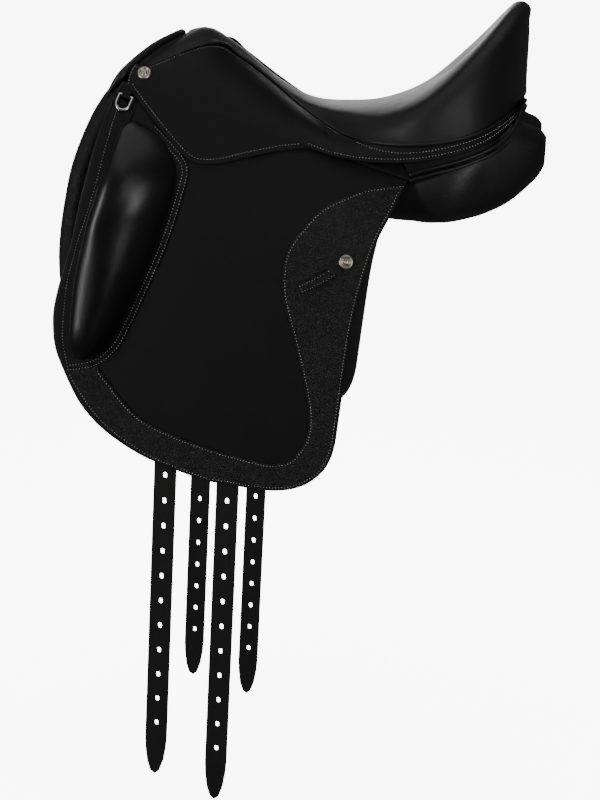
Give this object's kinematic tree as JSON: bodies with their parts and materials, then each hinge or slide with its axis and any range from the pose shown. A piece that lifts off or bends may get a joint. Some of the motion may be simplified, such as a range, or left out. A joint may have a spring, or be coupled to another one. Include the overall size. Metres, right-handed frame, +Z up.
{
  "type": "dressage saddle",
  "caption": "English dressage saddle with deep seat, long straight flaps that lift, outer knee blocks, hinged skirts and long hanging girth straps.",
  "frame": {"origin": "on the mid-plane, under the lowest part of the seat, at the level where the panels bear on the back", "axes": "+X towards the cantle, +Y to the right side, +Z up along the hanging girth straps"},
  "size_m": [0.5297, 0.4096, 0.9245],
  "materials": {
    "smooth": "satin black leather",
    "grained": "pebble-grained black leather",
    "strap": "matte black strap leather",
    "foam": "open foam",
    "web": "woven canvas",
    "tree": "moulded beech ply",
    "steel": "plain steel",
    "silver": "antique silver",
    "brass": "copper and brass rivet",
    "chrome": "polished"
  },
  "bodies": {
    "frame": {"tree": "tree", "head_plate": "steel", "tree_springs": "steel", "stirrup_bar_left": "steel", "stirrup_bar_right": "steel", "bar_rivets": "steel", "seat_web": "web", "seat_foam": "foam", "seat_cover": "smooth", "seat_welt": "smooth", "skirt_left": "smooth", "skirt_right": "smooth", "skirt_nails": "silver", "flap_hanger_left": "smooth", "flap_hanger_right": "smooth", "panel_left": "grained", "panel_right": "grained", "panel_piping": "grained", "gullet_lining": "grained", "rear_facing": "grained", "pommel_roll": "grained", "sweat_flap_left": "grained", "sweat_flap_right": "grained", "girth_web_left": "web", "girth_web_right": "web", "girth_rivets": "brass"},
    "flap_left": {"flap_left": "smooth", "facing_left": "grained", "block_base_left": "grained", "knee_block_left": "smooth", "keeper_left": "grained", "stud_left": "silver", "dee_tab_left": "grained"},
    "flap_right": {"flap_right": "smooth", "facing_right": "grained", "block_base_right": "grained", "knee_block_right": "smooth", "keeper_right": "grained", "stud_right": "silver", "dee_tab_right": "grained"},
    "dee_left": {"dee_left": "chrome"},
    "dee_right": {"dee_right": "chrome"},
    "skirt_tip_left": {"skirt_tip_left": "smooth"},
    "skirt_tip_right": {"skirt_tip_right": "smooth"},
    "billet_front_left": {"billet_front_left": "strap"},
    "billet_front_right": {"billet_front_right": "strap"},
    "billet_rear_left": {"billet_rear_left": "strap"},
    "billet_rear_right": {"billet_rear_right": "strap"}
  },
  "joints": [
    {"name": "flap_left_lift", "type": "hinge", "parent": "frame", "child": "flap_left", "pos_m": [-0.207, -0.121, 0.12], "axis": [-0.9613, 0.0841, 0.2622], "range_deg": [0, 70]},
    {"name": "skirt_left_lift", "type": "hinge", "parent": "flap_left", "child": "skirt_tip_left", "pos_m": [-0.207, -0.121, 0.12], "axis": [-0.9613, 0.0841, 0.2622], "range_deg": [0, 60]},
    {"name": "dee_left_swing", "type": "hinge", "parent": "flap_left", "child": "dee_left", "pos_m": [-0.21016, -0.12908, 0.10719], "axis": [-0.9613, 0.0841, 0.2622], "range_deg": [0, 80]},
    {"name": "billet_front_left_swing", "type": "hinge", "parent": "frame", "child": "billet_front_left", "pos_m": [-0.149, -0.15507, -0.008], "axis": [0, 1, 0], "range_deg": [-6, 6]},
    {"name": "billet_rear_left_swing", "type": "hinge", "parent": "frame", "child": "billet_rear_left", "pos_m": [-0.077, -0.16137, -0.025], "axis": [0, 1, 0], "range_deg": [-6, 6]},
    {"name": "flap_right_lift", "type": "hinge", "parent": "frame", "child": "flap_right", "pos_m": [-0.207, 0.121, 0.12], "axis": [0.9613, 0.0841, -0.2622], "range_deg": [0, 70]},
    {"name": "skirt_right_lift", "type": "hinge", "parent": "flap_right", "child": "skirt_tip_right", "pos_m": [-0.207, 0.121, 0.12], "axis": [0.9613, 0.0841, -0.2622], "range_deg": [0, 60]},
    {"name": "dee_right_swing", "type": "hinge", "parent": "flap_right", "child": "dee_right", "pos_m": [-0.21016, 0.12908, 0.10719], "axis": [0.9613, 0.0841, -0.2622], "range_deg": [0, 80]},
    {"name": "billet_front_right_swing", "type": "hinge", "parent": "frame", "child": "billet_front_right", "pos_m": [-0.149, 0.15507, -0.008], "axis": [0, 1, 0], "range_deg": [-6, 6]},
    {"name": "billet_rear_right_swing", "type": "hinge", "parent": "frame", "child": "billet_rear_right", "pos_m": [-0.077, 0.16137, -0.025], "axis": [0, 1, 0], "range_deg": [-6, 6]}
  ]
}
